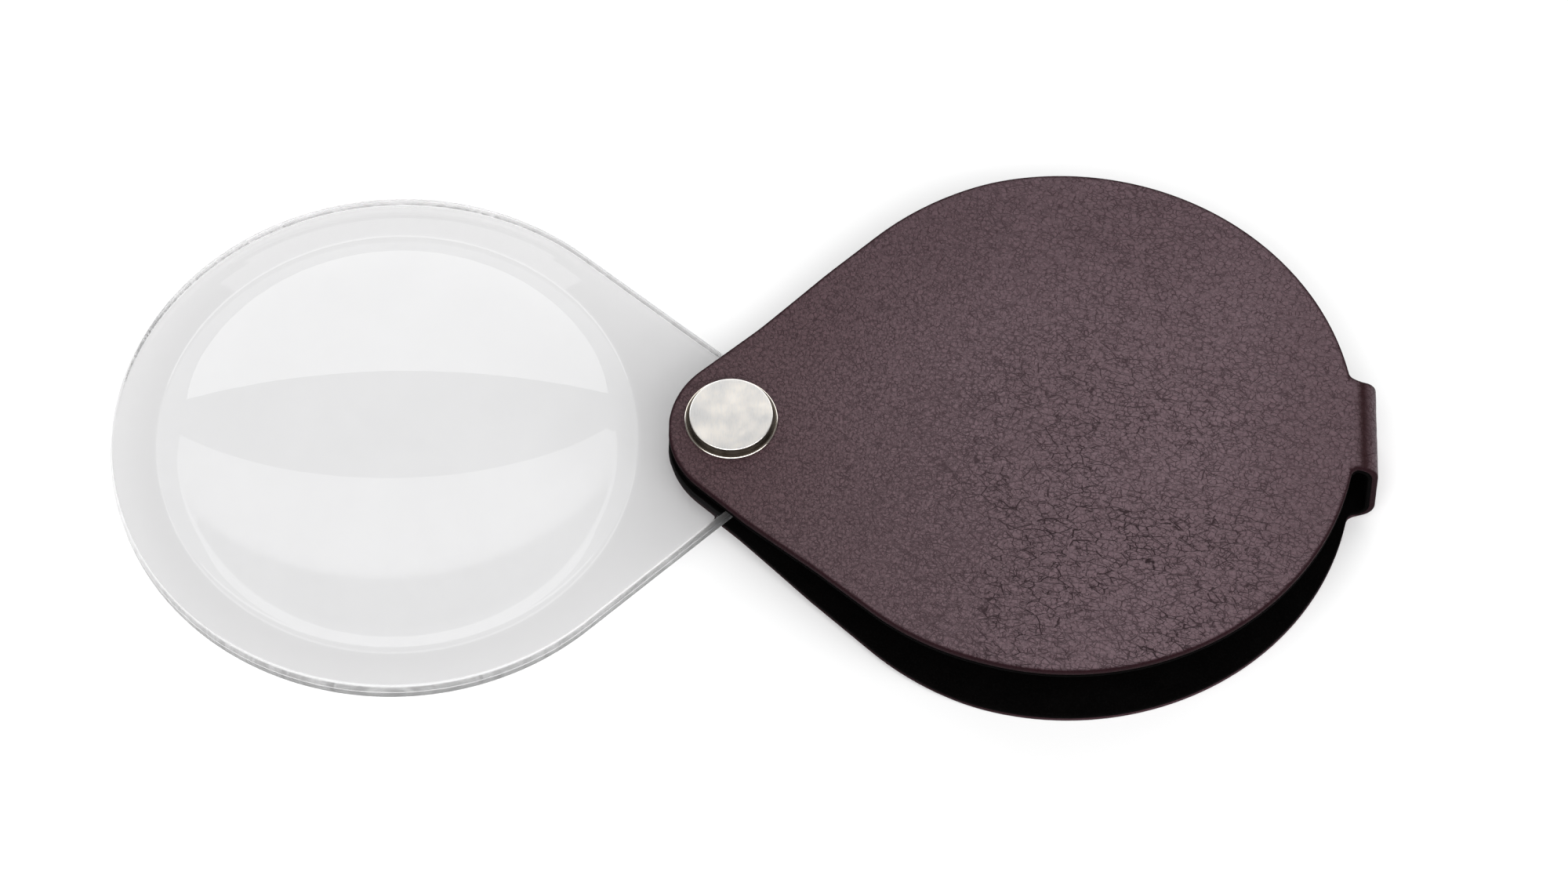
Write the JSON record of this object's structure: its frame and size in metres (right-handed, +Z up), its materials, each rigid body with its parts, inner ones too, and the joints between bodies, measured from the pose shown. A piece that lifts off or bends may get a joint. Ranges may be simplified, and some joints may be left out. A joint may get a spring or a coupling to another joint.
{
  "type": "folding pocket magnifier",
  "caption": "Folding pocket magnifier: a clear round lens in a teardrop frame swings on a rivet out of a flat brown leather case with a strap spine.",
  "frame": {"origin": "on the underside's plane, below the middle of the part's length and width with the lens swung out", "axes": "+X from the rivet along the case to its spine, +Y across the case, +Z up out of the face with the stud"},
  "size_m": [0.1582, 0.0732, 0.0123],
  "materials": {
    "clear_lens": "polished clear acrylic",
    "leather": "fine-grained brown leather, matt",
    "board": "dyed black board",
    "lining": "thin black split leather",
    "rivet_steel": "plain",
    "nickel_ring": "bright nickel",
    "nickel_cap": "nickel, handled",
    "washer": "natural"
  },
  "bodies": {
    "case": {"leather_cover": "leather", "board_upper": "board", "board_lower": "board", "board_spine": "board", "lining": "lining", "rivet_post": "rivet_steel", "rivet_stud": "rivet_steel", "washer_upper": "washer", "washer_lower": "washer", "lip_ring_upper": "nickel_ring", "lip_ring_lower": "nickel_ring", "cap_upper": "nickel_cap", "cap_lower": "nickel_cap"},
    "lens": {"lens": "clear_lens"}
  },
  "joints": [
    {"name": "lens_swing", "type": "hinge", "parent": "case", "child": "lens", "pos_m": [-0.0015, 0.0015, 0.00615], "axis": [0, 0, 1], "continuous": true}
  ]
}
